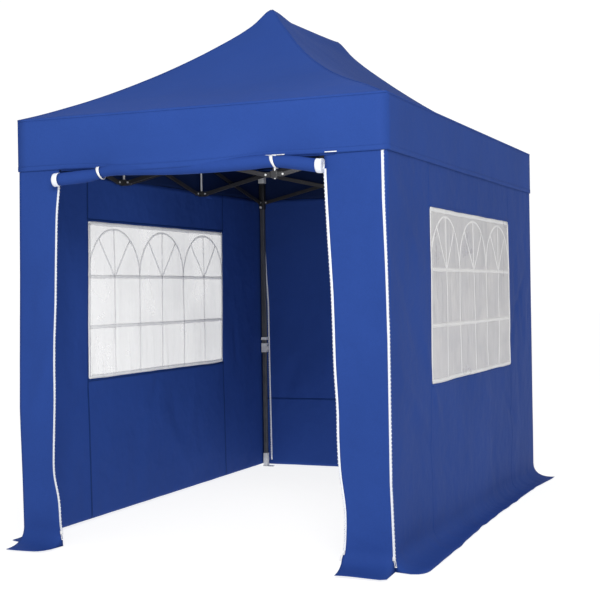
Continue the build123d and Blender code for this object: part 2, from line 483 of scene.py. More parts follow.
@dataclass
class ShaderGroups:
    """The effects that several finishes share, each built once."""

    weave: bpy.types.NodeTree = field(init=False)
    grain: bpy.types.NodeTree = field(init=False)
    scuffs: bpy.types.NodeTree = field(init=False)

    def __post_init__(self) -> None:
        """Build every group."""
        self.weave = self._make_weave()
        self.grain = self._make_grain()
        self.scuffs = self._make_scuffs()

    def _make_weave(self) -> bpy.types.NodeTree:
        """Coated woven cloth: threads, slubs, soft creases and a faint change of colour.

        Returns:
            The group.
        """
        tree, w = group_shell(
            "coated_weave",
            [("Color", COLOR, DARK), ("Threads per metre", FLOAT, 900.0), ("Creases", FLOAT, 1.0),
             ("Fade", FLOAT, 0.12)],
            [("Color", COLOR), ("Roughness", FLOAT), ("Height", FLOAT)])
        take = w.add("NodeGroupInput")
        give = w.add("NodeGroupOutput")
        at = w.add("ShaderNodeTexCoord").outputs["Object"]
        threads = []
        for scale in ((1.0, 1.0, 0.07), (0.07, 0.07, 1.0)):
            along = w.stretched(at, scale)
            threads.append(w.noise(along, take.outputs["Threads per metre"], 1.0, 0.4))
        cross = w.math("MULTIPLY", threads[0], threads[1])
        fade = w.noise(at, 1.7, 3.0)
        slub = w.noise(at, 240.0, 2.0, 0.6)
        soft = w.noise(at, 7.0, 2.0, 0.45)
        lift = w.math("MULTIPLY", soft, take.outputs["Creases"])
        down = w.math("SUBTRACT", 1.0, take.outputs["Fade"])
        up = w.math("ADD", 1.0, w.math("MULTIPLY", take.outputs["Fade"], 0.6))
        tone = w.spread(fade, 0.32, 0.68, down, up)
        speck = w.spread(slub, 0.35, 0.65, 0.95, 1.05)
        toned = w.add("ShaderNodeVectorMath", operation="SCALE")
        w.join(take.outputs["Color"], toned.inputs[0])
        w.join(w.math("MULTIPLY", tone, speck), toned.inputs["Scale"])
        height = w.math("ADD", w.math("MULTIPLY", cross, 0.3), w.math("MULTIPLY", slub, 0.15))
        w.fill(give, {"Color": toned.outputs["Vector"], "Roughness": w.spread(slub, 0.3, 0.7, 0.58, 0.74),
                      "Height": w.math("ADD", height, w.math("MULTIPLY", lift, 12.0))})
        return tree

    def _make_grain(self) -> bpy.types.NodeTree:
        """Fine moulded or painted grain.

        Returns:
            The group.
        """
        tree, w = group_shell(
            "fine_grain",
            [("Color", COLOR, DARK), ("Scale", FLOAT, 900.0), ("Low", FLOAT, 0.4), ("High", FLOAT, 0.6)],
            [("Color", COLOR), ("Roughness", FLOAT), ("Height", FLOAT)])
        take = w.add("NodeGroupInput")
        give = w.add("NodeGroupOutput")
        at = w.add("ShaderNodeTexCoord").outputs["Object"]
        fine = w.noise(at, take.outputs["Scale"], 3.0, 0.6)
        broad = w.noise(at, 14.0, 4.0, 0.55)
        dark = w.mix(0.25, take.outputs["Color"], (0, 0, 0, 1))
        patches = w.spread(broad, 0.35, 0.65, 0.0, 1.0)
        rough = w.spread(broad, 0.3, 0.7, take.outputs["Low"], take.outputs["High"])
        w.fill(give, {"Color": w.mix(patches, dark, take.outputs["Color"]), "Roughness": rough,
                      "Height": fine})
        return tree

    def _make_scuffs(self) -> bpy.types.NodeTree:
        """Rubs and dust that lighten a handled surface.

        Returns:
            The group.
        """
        tree, w = group_shell(
            "scuffs", [("Color", COLOR, DARK), ("Rub", COLOR, (0.4, 0.4, 0.4, 1)), ("Amount", FLOAT, 0.3)],
            [("Color", COLOR)])
        take = w.add("NodeGroupInput")
        give = w.add("NodeGroupOutput")
        at = w.add("ShaderNodeTexCoord").outputs["Object"]
        patch = w.spread(w.noise(at, 9.0, 6.0, 0.65, 0.8), 0.58, 0.72, 0.0, 1.0)
        scratch = w.spread(w.noise(at, 160.0, 3.0, 0.7, 2.0), 0.55, 0.66, 0.0, 1.0)
        mask = w.math("MULTIPLY", w.math("MULTIPLY", patch, scratch), take.outputs["Amount"])
        w.join(w.mix(mask, take.outputs["Color"], take.outputs["Rub"]), give.inputs["Color"])
        return tree


@dataclass(frozen=True)
class Cloth:
    """A coated polyester finish."""

    name: str
    color: Spot
    creases: float = 1.0
    fade: float = 0.12
    threads: float = 900.0
    bump: float = 0.0012

    def build(self, groups: ShaderGroups) -> bpy.types.Material:
        """Make the material.

        Args:
            groups: The shared effects.

        Returns:
            The finished material.
        """
        material, w, shader = blank_material(self.name)
        weave = w.add("ShaderNodeGroup", node_tree=groups.weave)
        w.fill(weave, {"Color": (*self.color, 1), "Threads per metre": self.threads, "Creases": self.creases,
                       "Fade": self.fade})
        w.fill(shader, {"Base Color": weave.outputs["Color"], "Roughness": weave.outputs["Roughness"],
                        "Specular IOR Level": 0.05})
        join_bump(w, weave.outputs["Height"], shader, self.bump)
        return material


@dataclass(frozen=True)
class Hard:
    """A painted, plated or moulded finish."""

    name: str
    color: Spot
    low: float
    high: float
    metallic: float = 0.0
    scale: float = 900.0
    bump: float = 0.0001
    rub: Spot = (0.35, 0.35, 0.36)
    rub_amount: float = 0.25
    coat: float = 0.0

    def build(self, groups: ShaderGroups) -> bpy.types.Material:
        """Make the material.

        Args:
            groups: The shared effects.

        Returns:
            The finished material.
        """
        material, w, shader = blank_material(self.name)
        grain = w.add("ShaderNodeGroup", node_tree=groups.grain)
        w.fill(grain, {"Color": (*self.color, 1), "Scale": self.scale, "Low": self.low, "High": self.high})
        rubs = w.add("ShaderNodeGroup", node_tree=groups.scuffs)
        w.fill(rubs, {"Color": grain.outputs["Color"], "Rub": (*self.rub, 1), "Amount": self.rub_amount})
        w.fill(shader, {"Base Color": rubs.outputs["Color"], "Roughness": grain.outputs["Roughness"],
                        "Metallic": self.metallic, "Coat Weight": self.coat})
        join_bump(w, grain.outputs["Height"], shader, self.bump)
        return material


@dataclass(frozen=True)
class Film:
    """Milky clear sheeting."""

    name: str
    color: Spot
    alpha: float

    def build(self, groups: ShaderGroups) -> bpy.types.Material:
        """Make the material.

        Args:
            groups: The shared effects.

        Returns:
            The finished material.
        """
        material, w, shader = blank_material(self.name)
        at = w.add("ShaderNodeTexCoord").outputs["Object"]
        haze = w.noise(at, 3.0, 4.0, 0.5, 0.6)
        clear = w.spread(haze, 0.3, 0.7, self.alpha - 0.05, self.alpha + 0.05)
        w.fill(shader, {"Alpha": clear, "Roughness": w.spread(haze, 0.3, 0.7, 0.25, 0.4),
                        "Base Color": (*self.color, 1), "Specular IOR Level": 0.3})
        ripple = w.noise(w.stretched(at, (1.0, 1.0, 0.16)), 16.0, 3.0, 0.55, 0.5)
        join_bump(w, ripple, shader, 0.014)
        return material


def blank_material(name: str) -> tuple[bpy.types.Material, Wiring, bpy.types.Node]:
    """A material with only a Principled shader.

    Args:
        name: Name of the material.

    Returns:
        The material, its wiring helper and its shader.
    """
    material = bpy.data.materials.new(name)
    material.use_nodes = True
    w = Wiring(material.node_tree)
    return material, w, material.node_tree.nodes["Principled BSDF"]


def join_bump(w: Wiring, height: bpy.types.NodeSocket, shader: bpy.types.Node, distance: float) -> None:
    """Raise a height into the shader's normal.

    Args:
        w: The material's wiring.
        height: What to raise.
        shader: The Principled shader.
        distance: Height of a full step, in metres.
    """
    bump = w.add("ShaderNodeBump")
    w.fill(bump, {"Strength": 1.0, "Distance": distance, "Height": height})
    w.join(bump.outputs["Normal"], shader.inputs["Normal"])


class Finish(Enum):
    """Every finish on the gazebo."""

    CANOPY = Cloth("canopy_blue_cloth", (0.0232, 0.0625, 0.268), 0.45, 0.06)
    # Dark navy sheet colour just inside the cover: painted shade under the roof and inside the valance.
    PAINTED_SHADE_SHEET = Cloth("canopy_underside_painted_shade", (0.0085, 0.019, 0.070), 0.2, 0.08)
    WALL = Cloth("wall_blue_cloth", (0.0212, 0.0575, 0.252), 0.8, 0.07)
    SEAM = Cloth("seam_blue_tape", (0.010, 0.034, 0.155), 0.1, 0.1, 700.0)
    FILM = Film("window_film_hazy", (0.92, 0.90, 0.87), 0.44)
    # A more see-through copy of the same window film for the left window, so that its backlit pane paints
    # brighter light.
    FILM_BACKLIT_BRIGHTER = Film("window_film_backlit_brighter", (0.94, 0.94, 0.94), 0.29)
    BAR = Film("window_bar_film", (0.97, 0.97, 0.97), 0.55)
    BORDER = Film("window_white_border", (0.97, 0.975, 0.98), 0.62)
    ZIP = Cloth("zip_white_tape", (0.80, 0.83, 0.90), 0.1, 0.03, 800.0, 0.0002)
    TEETH = Hard("zip_white_teeth", (0.84, 0.86, 0.91), 0.3, 0.4, rub_amount=0.05)
    TOGGLE = Hard("toggle_white_nylon", (0.93, 0.935, 0.94), 0.3, 0.42, rub_amount=0.06)
    COAT = Hard("bar_black_powder_coat", (0.017, 0.016, 0.019), 0.55, 0.70, 0.0, 1400.0, 0.00015)
    LEG = Hard("leg_grey_powder_coat", (0.075, 0.077, 0.084), 0.36, 0.50, 0.0, 1400.0, 0.00015, coat=0.2)
    NYLON = Hard("bracket_black_nylon", (0.022, 0.022, 0.024), 0.45, 0.6, 0.0, 700.0, 0.0002)
    GREY = Hard("clip_grey_nylon", (0.80, 0.81, 0.82), 0.42, 0.56, 0.0, 700.0, 0.0002, (0.8, 0.8, 0.8))
    ZINC = Hard("bolt_zinc", (0.92, 0.92, 0.90), 0.22, 0.38, 0.55, 500.0, 0.0001, (0.9, 0.9, 0.9))
    STEEL = Hard("pole_dull_steel", (0.30, 0.30, 0.31), 0.35, 0.5, 0.9, 500.0, 0.0001, (0.6, 0.6, 0.6))


@dataclass
class Paintbox:
    """Builds each finish once and hands it out."""

    made: dict[Finish, bpy.types.Material] = field(default_factory=dict)

    def __post_init__(self) -> None:
        """Build the shared groups and every finish."""
        groups = ShaderGroups()
        for finish in Finish:
            self.made[finish] = finish.value.build(groups)

    def __getitem__(self, finish: Finish) -> bpy.types.Material:
        """The material of a finish."""
        return self.made[finish]


# --------------------------------------------------------------- folding moves


@dataclass
class FoldMove:
    """Carries the canopy's pieces as the frame folds under them."""

    bodies: dict[str, bpy.types.Object]
    follow: float = 0.985
    gather: float = 0.21

    def _hook(self, piece: bpy.types.Object, body: str, weight: Callable[[Vector], float]) -> None:
        """Let part of a piece follow another body, as far as each point's weight.

        Args:
            piece: The piece.
            body: Name of the body to follow.
            weight: Share of the body's travel that a point takes.
        """
        group = piece.vertex_groups.new(name="to_" + body)
        for vert in piece.data.vertices:
            share = weight(vert.co)
            if share > 0.0:
                group.add([vert.index], min(1.0, share), "REPLACE")
        hook = piece.modifiers.new("to_" + body, "HOOK")
        hook.object = self.bodies[body]
        hook.vertex_group = group.name
        hook.matrix_inverse = Matrix.Identity(4)

    def with_canopy(self, piece: bpy.types.Object) -> None:
        """Ride on the canopy's body, and follow the side hubs in and the front peak pole down.

        Args:
            piece: A finished canopy piece.
        """
        frozen(piece)
        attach(piece, "peak_hub_front")
        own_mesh(piece)
        self._hook(piece, "hub_top_right_front", lambda co: min(1.0, co.x / LEG_X) * self.follow)
        self._hook(piece, "hub_top_left_front", lambda co: min(1.0, -co.x / LEG_X) * self.follow)
        self._hook(piece, "peak_pole_front", lambda co: (co.z - EAVE_Z) / (RIDGE_Z - EAVE_Z))


# --------------------------------------------------------------------- canopy


@dataclass
class Canopy:
    """The roof with its hanging valance, its seams and its hem."""

    sides_x: int = 36
    sides_y: int = 54
    valance_rows: int = 9
    thickness: float = 0.0012
    profile: Table = (
        (0.0, 2.2), (0.06, 2.2225), (0.12, 2.248), (0.18, 2.2755), (0.27, 2.319), (0.36, 2.368),
        (0.47, 2.434), (0.588, 2.512), (0.7, 2.593), (0.805, 2.677), (0.87, 2.733), (0.922, 2.786),
        (0.95, 2.824), (0.973, 2.857), (0.988, 2.873), (1.0, 2.879))
    slack_profile: Table = (
        (0.0, 2.2), (0.034, 2.209), (0.136, 2.259), (0.277, 2.318), (0.419, 2.386), (0.51, 2.440),
        (0.597, 2.497), (0.68, 2.560), (0.751, 2.622), (0.81, 2.681), (0.868, 2.741), (0.92, 2.793),
        (0.95, 2.829), (0.973, 2.857), (0.988, 2.872), (1.0, 2.878))
    front_dip: Table = (
        (-1.01, 0.0), (-0.75, 0.0), (-0.56, 0.006), (-0.39, 0.025), (-0.22, 0.029), (0.03, 0.029),
        (0.22, 0.022), (0.38, 0.004), (0.5, 0.0), (1.01, 0.0))
    ridge_sag: float = 0.022
    panel_sag: float = 0.016
    lap: float = 0.009
    hem: float = 0.024

    def turns(self) -> list[float]:
        """Stations once round the canopy, from the front left corner."""
        return ramp(0.0, 2.0 * (self.sides_x + self.sides_y), 2 * (self.sides_x + self.sides_y))

    def roof_height(self, share: float, side: int, along: float) -> float:
        """Height of the roof's frame line, a share of the way from eave to ridge.

        Args:
            share: From 0 at the eave to 1 at the ridge.
            side: Which slope.
            along: From -1 to 1 between the slope's hips.

        Returns:
            The height; the hip at the front right hangs slacker than the others.
        """
        toward = smooth(along, -1.0, 1.0)
        slack = (toward, 1.0 - toward, 0.0, 0.0)[side]
        return (1.0 - slack) * curve(share, self.profile) + slack * curve(share, self.slack_profile)

    def side_of(self, turn: float) -> tuple[int, float]:
        """Which side a perimeter station is on.

        Args:
            turn: Station round the canopy, from the front left corner.

        Returns:
            The side, and how far along it from -1 to 1.
        """
        spans = (self.sides_x, self.sides_y, self.sides_x, self.sides_y)
        side = 0
        while side < 3 and turn > spans[side]:
            turn -= spans[side]
            side += 1
        return side, 2.0 * turn / spans[side] - 1.0

    def on_side(self, side: int, along: float, half_x: float, half_y: float) -> tuple[float, float]:
        """Plan position on one side of an outline; sides run front, right, back, left."""
        return ((along * half_x, -half_y), (half_x, along * half_y), (-along * half_x, half_y),
                (-half_x, -along * half_y))[side]

    def roof_point(self, side: int, along: float, share: float) -> Vector:
        """A point of the roof, with the sag and small rumples of real cloth.

        Args:
            side: Which slope.
            along: From -1 to 1 between the slope's hips.
            share: From 0 at the eave to 1 at the ridge.

        Returns:
            The point in space.
        """
        inset = HALF_X * share
        x, y = self.on_side(side, along, HALF_X - inset, HALF_Y - inset)
        z = self.roof_height(share, side, along)
        between = 1.0 - along * along
        z -= self.panel_sag * between * math.sin(math.pi * min(1.0, share * 1.08))
        if side in (1, 3):
            near_top = smooth(share, 0.8, 1.0)
            run = y + 0.5
            off_peak = 1.3 * smooth(run, 0.02, 0.28) * (1.0 - run) ** 0.7 if 0.0 < run < 1.0 else 0.0
            z -= self.ridge_sag * near_top * off_peak
        free = math.sin(math.pi * min(1.0, max(0.0, share))) * (0.35 + 0.65 * between)
        z += 0.0035 * free * rumple(x * 3.1, y * 3.1, 4.7)
        z += 0.0016 * free * rumple(x * 9.0, y * 9.0, 1.3)
        return Vector((x, y, z))

    def valance_point(self, side: int, along: float, drop: float, proud: float = 0.0) -> Vector:
        """A point of the valance, which hangs in shallow waves.

        Args:
            side: Which side.
            along: From -1 to 1 between its corners.
            drop: Depth below the eave, in metres.
            proud: Distance outwards.

        Returns:
            The point in space.
        """
        x, y = self.on_side(side, along, HALF_X, HALF_Y)
        free = smooth(drop, 0.0, 0.2) * (1.0 - abs(along) ** 8)
        length = HALF_X if side in (0, 2) else HALF_Y
        wave = 0.0035 * rumple(along * length * 3.0, drop * 2.0, side * 3.7 + 0.5)
        wave += 0.0018 * rumple(along * length * 9.0, drop * 7.0, side * 5.1)
        outward = proud + free * wave
        nx, ny = ((0, -1), (1, 0), (0, 1), (-1, 0))[side]
        sag = 0.004 * (1.0 - along * along)
        z = EAVE_Z - drop - sag * 0.4 - 0.0025 * free * rumple(along * length * 2.0, side, 9.1)
        if side == 0:
            dip = curve(x, self.front_dip)
            z -= dip * (drop / VALANCE_DEPTH) ** 2
            outward += 1.7 * dip * smooth(drop, 0.12, 0.25)
        return Vector((x + nx * outward, y + ny * outward, z))

    def place(self, turn: float, level: float) -> Vector:
        """A point of the whole cover.

        Args:
            turn: Station round the canopy.
            level: From minus the valance's depth, through 0 at the eave, to 1 at the ridge.

        Returns:
            The point in space.
        """
        side, along = self.side_of(turn)
        if level >= 0.0:
            return self.roof_point(side, along, level)
        return self.valance_point(side, along, -level)

    def build(self, paint: Paintbox, moves: FoldMove) -> None:
        """Make the cover, a dark sheet inside it that paints the shade under the roof, its hem, its seams and
        the fold along the eave.

        Args:
            paint: The finishes.
            moves: How the pieces follow the folding frame.
        """
        levels = joined(ramp(-VALANCE_DEPTH, 0.0, self.valance_rows), ramp(0.0, 0.88, 22), ramp(0.88, 1.0, 8))
        cover = cloth("canopy_cover", self.turns(), levels, self.place, self.thickness, merge=True)
        dressed(cover, paint[Finish.CANOPY])
        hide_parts("canopy")
        trims = [self._painted_shade_sheet(paint, levels), self._hem(paint), self._seams(paint), self._eave_welt(paint)]
        for piece in (cover, *trims):
            moves.with_canopy(piece)

    def _painted_shade_sheet(self, paint: Paintbox, levels: list[float]) -> bpy.types.Object:
        """A dark sheet just inside the cover: painted shade under the roof and inside the valance.

        Args:
            paint: The finishes.
            levels: The cover's stations from hem to ridge.

        Returns:
            The dark sheet of painted shade.
        """

        def place(turn: float, level: float) -> Vector:
            """Just inside the cover."""
            side, along = self.side_of(turn)
            if level >= 0.0:
                return self.roof_point(side, along * 0.9985, level) - Vector((0, 0, 0.0036))
            return self.valance_point(side, along, -level, -0.0021)

        inner = [level for level in levels if level > -VALANCE_DEPTH + 0.02]
        # A dark sheet just inside the cover that paints the shade under the roof and inside the valance.
        painted_shade_sheet = cloth("canopy_painted_shade_sheet", self.turns(), inner, place, 0.0006, merge=True)
        return dressed(painted_shade_sheet, paint[Finish.PAINTED_SHADE_SHEET])

    def _hem(self, paint: Paintbox) -> bpy.types.Object:
        """The doubled lower edge of the valance.

        Args:
            paint: The finishes.

        Returns:
            The hem.
        """

        def place(turn: float, drop: float) -> Vector:
            """Just outside the valance."""
            side, along = self.side_of(turn)
            return self.valance_point(side, along, drop, 0.0012)

        drops = ramp(VALANCE_DEPTH + 0.0006, VALANCE_DEPTH - self.hem, 3)
        hem = cloth("canopy_valance_hem", self.turns(), drops, place, 0.0012, merge=True)
        return dressed(hem, paint[Finish.CANOPY])

    def _lap(self, side: int, end: int, across: float, share: float) -> Vector:
        """A point of a hip's lap.

        Args:
            side: The slope that it lies on.
            end: 1 at the slope's far hip and -1 at its near one.
            across: Distance from the hip.
            share: From 0 at the eave to 1 at the ridge.

        Returns:
            The point, just above the cloth.
        """
        run = HALF_X if side in (0, 2) else HALF_Y
        half = max(0.02, run - HALF_X * share)
        along = max(-1.0, 1.0 - across / half)
        return self.roof_point(side, end * along, share) + Vector((0, 0, TAPE))

    def _seams(self, paint: Paintbox) -> bpy.types.Object:
        """Lapped seams along the four hips.

        Args:
            paint: The finishes.

        Returns:
            The seams.
        """
        bm = bmesh.new()
        levels = joined(ramp(0.0, 0.9, 24), ramp(0.9, 0.992, 6))
        for side in range(4):
            add_grid(bm, [self.lap, 0.0], levels, partial(self._lap, side, 1))
            add_grid(bm, [0.0, self.lap], levels, partial(self._lap, (side + 1) % 4, -1))
        return dressed(thick_piece("canopy_hip_seams", bm, 0.001), paint[Finish.CANOPY])

    def _eave_welt(self, paint: Paintbox) -> bpy.types.Object:
        """The stitched fold where the roof turns down into the valance.

        Args:
            paint: The finishes.

        Returns:
            The fold.
        """

        def place(turn: float, level: float) -> Vector:
            """Just outside the cover."""
            side, along = self.side_of(turn)
            if level > 0:
                return self.roof_point(side, along, level / HALF_X) + Vector((0, 0, 0.0008))
            return self.valance_point(side, along, -level, 0.0008)

        rows = [-self.lap, -0.004, 0.0, 0.004, self.lap]
        welt = cloth("canopy_eave_welt", self.turns(), rows, place, 0.001, merge=True)
        return dressed(welt, paint[Finish.CANOPY])


# ---------------------------------------------------------------------- walls


@dataclass(frozen=True)
class Crease:
    """A soft straight fold in a wall, from one point of it to another."""

    start: tuple[float, float]
    end: tuple[float, float]
    height: float
    width: float

    def lift(self, u: float, z: float) -> float:
        """How far the fold stands out at a point of the wall.

        Args:
            u: Across the wall.
            z: Up the wall.

        Returns:
            The fold's height there.
        """
        du, dz = self.end[0] - self.start[0], self.end[1] - self.start[1]
        length = math.hypot(du, dz)
        along = ((u - self.start[0]) * du + (z - self.start[1]) * dz) / length
        off = ((u - self.start[0]) * dz - (z - self.start[1]) * du) / length
        if not -0.3 * length < along < 1.3 * length:
            return 0.0
        ends = smooth(along / length, -0.3, 0.25) * (1.0 - smooth(along / length, 0.6, 1.3))
        spot = off / self.width
        return self.height * ends * math.exp(-spot * spot) * (1.0 - 0.45 * spot)


def random_creases(seed: int, half: float, count: int, height: float) -> tuple[Crease, ...]:
    """Soft folds spread over a hanging wall, mostly upright or slanting.

    Args:
        seed: Start of the number series.
        half: Half the wall's width.
        count: How many folds.
        height: Greatest height of a fold.

    Returns:
        The folds.
    """
    pick = random.Random(seed)
    out = []
    for _ in range(count):
        u, z = pick.uniform(-half, half), pick.uniform(0.25, 1.85)
        lean, run = pick.gauss(0.0, 0.5), pick.uniform(0.2, 0.6)
        out.append(Crease((u, z), (u + run * math.sin(lean), z - run * math.cos(lean)),
                          height * pick.uniform(-1.0, 1.0), pick.uniform(0.025, 0.07)))
    return tuple(out)


@dataclass
class WallCloth:
    """Shape of one hanging wall: straight down, then out along the ground."""

    origin: Vector
    across: Vector
    outward: Vector
    half: float
    seed: float
    reach: Table = ((0.0, 0.12), (1.0, 0.12))
    rounding: tuple[float, float] = (0.0, 0.0)
    edge_low: Table = FLAT
    edge_high: Table = FLAT
    lean_high: Table = FLAT
    flare: tuple[float, float] = (0.0, 0.0)
    flare_fade: float = 4.0
    billow: float = 0.012
    creases: tuple[Crease, ...] = ()
    bend: float = 0.10
    lift: float = 0.003

    def levels(self) -> list[float]:
        """Stations from the flap's edge, below zero, up to the top of the wall."""
        return joined(ramp(-self.bend, self.bend, 12), ramp(self.bend, SILL_Z, 30), ramp(SILL_Z, HEAD_Z, 30),
                      ramp(HEAD_Z, WALL_TOP_Z, 12))

    def flap_reach(self, u: float) -> float:
        """How far the ground flap runs out.

        Args:
            u: Distance across the wall, from its middle.

        Returns:
            The flap's reach there, less where a corner is rounded.
        """
        reach = through((u + self.half) / (2 * self.half), self.reach)
        for gap, radius in ((u + self.half, self.rounding[0]), (self.half - u, self.rounding[1])):
            if radius > 0.0 and gap < radius:
                reach *= math.sqrt(max(0.0, 1.0 - (1.0 - gap / radius) ** 2))
        return reach

    def point(self, u: float, level: float, proud: float = 0.0) -> Vector:
        """A point of the wall.

        Args:
            u: Distance across, from the middle.
            level: Distance up from the ground line; the flap is below zero.
            proud: Distance outwards from the cloth's face.

        Returns:
            The point in space.
        """
        share = (u + self.half) / (2 * self.half)
        z = max(level, 0.0)
        shift = (1.0 - share) * curve(z, self.edge_low) + share * curve(z, self.edge_high)
        out = share ** 2 * through(z, self.lean_high)
        free = math.sin(math.pi * max(0.0, min(1.0, level / WALL_TOP_Z))) ** 0.7 if level > 0 else 0.0
        hold = max(0.2, min(1.0, (self.half - abs(u)) / 0.15))
        wave = (0.35 + rumple(u * 2.2, level * 0.7, self.seed)
                + 0.3 * rumple(u * 6.0 + level, level * 1.6, self.seed + 7.0))
        out += self.billow * free * hold * wave
        calm = max(0.3, min(1.0, (self.half - abs(u)) / 0.05)) * free
        if abs(u) < WINDOW_Y + 0.05 and SILL_Z - 0.05 < z < HEAD_Z + 0.05 and self.half > 1.2:
            calm *= 0.35
        out += calm * sum(crease.lift(u, z) for crease in self.creases)
        out = max(out, -0.003 - 0.05 * smooth(self.half - abs(u), 0.05, 0.11))
        height = level
        if level < self.bend:
            sweep = (self.bend - level) / (2 * self.bend)
            reach = self.flap_reach(u)
            ripple = 0.5 + 0.5 * rumple(u * 7.0, 0.5 + sweep, self.seed + 3.0)
            out += sweep ** 2 * (reach + 0.006 * rumple(u * 5.0, 2.0, self.seed + 5.0) - 0.006)
            rise = (self.lift + 0.011 * ripple) * min(1.0, 0.3 + reach * 7)
            height = max((1.0 - sweep) ** 2 * self.bend + sweep ** 2 * rise, self.lift * 0.6)
            low, high = self.flare
            spread = (1.0 - share) ** self.flare_fade * low + share ** self.flare_fade * high
            shift += sweep ** 2 * (reach / max(1e-6, through(share, self.reach))) * spread
        return self.origin + self.across * (u + shift) + self.outward * (out + proud) + Vector((0, 0, height))

    def ribbon(self, bm: bmesh.types.BMesh, path: Path, width: float, proud: float = 0.0) -> None:
        """Lay a flat strip along a path on the wall.

        Args:
            bm: The mesh to add to.
            path: Points across and up the wall.
            width: Width of the strip.
            proud: Distance outwards; below zero is inside.
        """

        def place(side: float, step: float) -> Vector:
            """One edge of the strip, square to the path."""
            i = round(step)
            a, b = path[max(0, i - 1)], path[min(len(path) - 1, i + 1)]
            run = Vector((b[0] - a[0], b[1] - a[1])).normalized() * side * width / 2
            return self.point(path[i][0] - run.y, path[i][1] + run.x, proud)

        add_grid(bm, [1.0, -1.0], range(len(path)), place)


@dataclass
class Window:
    """Film pane with its welded bars, border and arches."""

    wall: WallCloth
    name: str
    film: Finish
    rail: float = 0.020
    upright: float = 0.009
    arc: float = 0.012
    border: float = 0.022
    rail_z: tuple[float, float] = (1.103, 1.392)
    arches: int = 3

    def _bar(self, bm: bmesh.types.BMesh, path: Path, width: float, wander: float = 0.003) -> None:
        """A flat bar that follows a path on the pane.

        Args:
            bm: The mesh to add to.
            path: Points across and up.
            width: Width of the bar.
            wander: How far the bar strays from its path.
        """
        strayed = [(a + wander * rumple(a * 3.0, b * 5.0, 2.0), b + wander * rumple(a * 5.0, b * 3.0, 6.0))
                   for a, b in path]
        self.wall.ribbon(bm, strayed, width)

    def _line(self, a: tuple[float, float], b: tuple[float, float]) -> list[tuple[float, float]]:
        """Even points from a to b, close enough to follow the cloth."""
        steps = max(2, int(math.hypot(b[0] - a[0], b[1] - a[1]) / 0.03))
        return list(zip(ramp(a[0], b[0], steps), ramp(a[1], b[1], steps)))

    def _bars(self, paint: Paintbox) -> bpy.types.Object:
        """The rails, uprights, arches and rays.

        Args:
            paint: The finishes.

        Returns:
            The bars as one piece.
        """
        bars = bmesh.new()
        low, high = self.rail_z
        for z in self.rail_z:
            self._bar(bars, self._line((-WINDOW_Y, z), (WINDOW_Y, z)), self.rail)
        pitch = 2 * WINDOW_Y / self.arches
        radius = pitch / 2
        rise = HEAD_Z - 0.035 - high
        for i in range(self.arches):
            mid = -WINDOW_Y + pitch * (i + 0.5)
            arc = [(mid + radius * math.cos(math.pi * k / 24), high + rise * math.sin(math.pi * k / 24))
                   for k in range(25)]
            self._bar(bars, arc, self.arc)
            self._bar(bars, self._line((mid, SILL_Z), (mid, high + rise)), self.upright, 0.007)
            for lean in (-1, 1):
                turn = math.radians(90 - lean * 38)
                top = (mid + radius * math.cos(turn) * 0.99, high + rise * math.sin(turn) * 0.99)
                self._bar(bars, self._line((mid, high), top), self.arc * 0.8)
            if i:
                edge = -WINDOW_Y + pitch * i
                self._bar(bars, self._line((edge, SILL_Z), (edge, high)), self.upright, 0.007)
        return dressed(thick_piece(self.name + "_bars", bars, 0.0018), paint[Finish.BAR])

    def build(self, paint: Paintbox) -> list[bpy.types.Object]:
        """Make the pane, its bars and its border.

        Args:
            paint: The finishes.

        Returns:
            The pane, the bars and the border.
        """
        us = ramp(-WINDOW_Y, WINDOW_Y, 56)
        vs = ramp(SILL_Z, HEAD_Z, 30)
        pane = cloth(self.name + "_film", us, vs, lambda u, v: self.wall.point(u, v, 0.0), 0.0006, offset=0.0)
        dressed(pane, paint[self.film])
        bars = self._bars(paint)
        edge = bmesh.new()
        inset = self.border / 2 - 0.003
        y, lo, hi = WINDOW_Y - inset, SILL_Z + inset, HEAD_Z - inset
        for a, c in (((-y, lo), (y, lo)), ((y, hi), (-y, hi)), ((-y, hi), (-y, lo)), ((y, lo), (y, hi))):
            self._bar(edge, self._line(a, c), self.border)
        border = dressed(thick_piece(self.name + "_border", edge, 0.0030), paint[Finish.BORDER])
        return [pane, bars, border]


def in_window(u: float, v: float) -> bool:
    """True inside the window opening of a side wall."""
    return abs(u) < WINDOW_Y and SILL_Z < v < HEAD_Z


